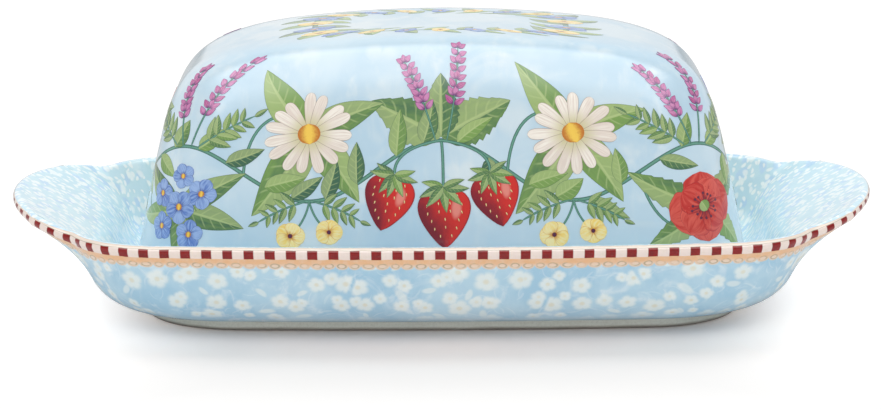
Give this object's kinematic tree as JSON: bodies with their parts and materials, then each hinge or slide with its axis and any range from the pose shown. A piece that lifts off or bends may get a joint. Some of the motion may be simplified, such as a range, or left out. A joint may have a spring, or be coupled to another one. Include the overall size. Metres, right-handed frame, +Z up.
{
  "type": "butter dish",
  "caption": "Low porcelain dish with a lobed ear at each end and a tall domed lid that stands on its floor, to keep and serve butter at table.",
  "frame": {"origin": "on the table, under the middle of the foot", "axes": "+X along the dish from ear to ear, +Y across it towards the back, +Z up"},
  "size_m": [0.239, 0.121, 0.0778],
  "materials": {
    "dish_glaze": "gloss glaze, light blue with small pale blossoms, chequered and apricot rim border, unglazed foot",
    "lid_glaze": "gloss glaze, light blue with painted flowers, fruit and leaves"
  },
  "bodies": {
    "dish_body": {"dish": "dish_glaze"},
    "lid_body": {"lid": "lid_glaze"}
  },
  "joints": [
    {"name": "lid_lift", "type": "slide", "parent": "dish_body", "child": "lid_body", "axis": [0, 0, 1], "range_m": [0, 0.09]}
  ]
}
